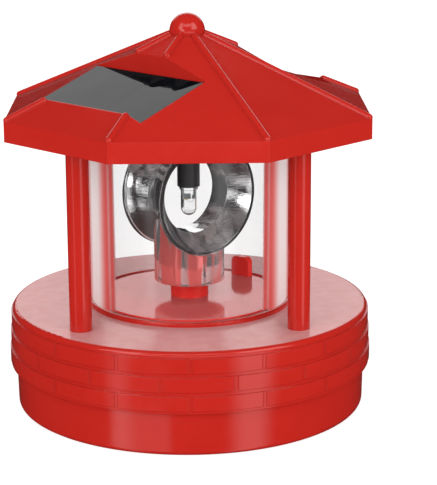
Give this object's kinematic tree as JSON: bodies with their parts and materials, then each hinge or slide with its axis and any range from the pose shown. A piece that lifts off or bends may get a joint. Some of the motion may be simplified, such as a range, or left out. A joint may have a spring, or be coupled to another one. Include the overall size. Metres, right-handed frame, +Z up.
{
  "type": "garden lighthouse ornament",
  "caption": "Solar garden light shaped like a lighthouse lamp room: round brick-banded base, clear tube with a turning chromed double reflector, octagonal roof with sunk solar panels.",
  "frame": {"origin": "middle of the underside, on the surface it stands on", "axes": "+Z up along the shaft, -Y towards the front, +X to the right seen from the front"},
  "size_m": [0.1148, 0.1148, 0.1237],
  "materials": {
    "red_gloss": "moulded red plastic, glossy",
    "clear_tube": "clear polished tube",
    "clear_lens": "water-clear lens",
    "chrome": "vacuum-plated mirror finish",
    "grey_moulded": "grey moulded plastic",
    "black_moulded": "black moulded plastic",
    "solar_face": "dark resin over solar cells, glossy",
    "steel": "zinc-plated steel",
    "brass": "plain brass",
    "white_moulded": "white acetal",
    "copper_winding": "enamelled copper wire",
    "green_board": "solder-masked board",
    "black_chip": "moulded package",
    "capacitor_sleeve": "shrunk sleeve",
    "cell_sleeve": "shrunk sleeve",
    "cable": "insulated wire"
  },
  "bodies": {
    "housing": {"lower_casing": "red_gloss", "upper_cover": "red_gloss", "base_screws": "steel", "cell_holder": "black_moulded", "battery_cell": "cell_sleeve", "battery_spring": "steel", "contact_positive": "brass", "contact_negative": "brass", "circuit_board": "green_board", "controller_chip": "black_chip", "boost_inductor": "copper_winding", "storage_capacitor": "capacitor_sleeve", "board_screws": "steel", "switch_body": "steel", "drive_frame": "black_moulded", "frame_spacers": "brass", "frame_screws": "steel", "motor_can": "steel", "motor_end_cap": "white_moulded", "motor_screws": "steel", "idler_pin": "steel", "lower_bush": "brass", "upper_bush": "brass", "lamp_tube": "clear_tube", "pillar_front_left": "red_gloss", "pillar_front_right": "red_gloss", "pillar_rear_left": "red_gloss", "pillar_rear_right": "red_gloss", "pillar_screws": "steel", "ceiling_plate": "grey_moulded", "ceiling_screws": "steel", "led_sleeve": "black_moulded", "led_lamp": "clear_lens", "lamp_leads": "steel", "roof_shell": "red_gloss", "finial_ball": "red_gloss", "solar_panel_front": "solar_face", "solar_panel_rear": "solar_face", "panel_lead_front": "cable", "panel_lead_rear": "cable", "lamp_cable": "cable", "motor_cable": "cable", "battery_cable": "cable"},
    "rotor": {"spindle": "steel", "spindle_clip": "steel", "output_gear": "white_moulded", "rotor_hub": "chrome", "reflector_front": "chrome", "reflector_rear": "chrome"},
    "idler": {"idler_gear": "white_moulded"},
    "motor_rotor": {"motor_shaft": "steel", "motor_armature": "copper_winding", "motor_pinion": "brass"},
    "switch": {"switch_slider": "black_moulded"},
    "cell_cover": {"battery_door": "red_gloss", "door_screws": "steel"}
  },
  "joints": [
    {"name": "reflector_spin", "type": "hinge", "parent": "housing", "child": "rotor", "pos_m": [0, 0, 0.04], "axis": [0, 0, 1], "continuous": true},
    {"name": "idler_spin", "type": "hinge", "parent": "housing", "child": "idler", "pos_m": [0.0184, 0, 0.024], "axis": [0, 0, 1], "continuous": true},
    {"name": "motor_spin", "type": "hinge", "parent": "housing", "child": "motor_rotor", "pos_m": [0.0292, -0.01287, 0.02], "axis": [0, 0, 1], "continuous": true},
    {"name": "switch_slide", "type": "slide", "parent": "housing", "child": "switch", "axis": [1, 0, 0], "range_m": [0, 0.004]},
    {"name": "cell_cover_off", "type": "slide", "parent": "housing", "child": "cell_cover", "axis": [0, 0, -1], "range_m": [0, 0.02]}
  ],
  "couplings": [
    {"joint": "idler_spin", "follows": "reflector_spin", "ratio": -3.6},
    {"joint": "motor_spin", "follows": "reflector_spin", "ratio": 11.52}
  ]
}
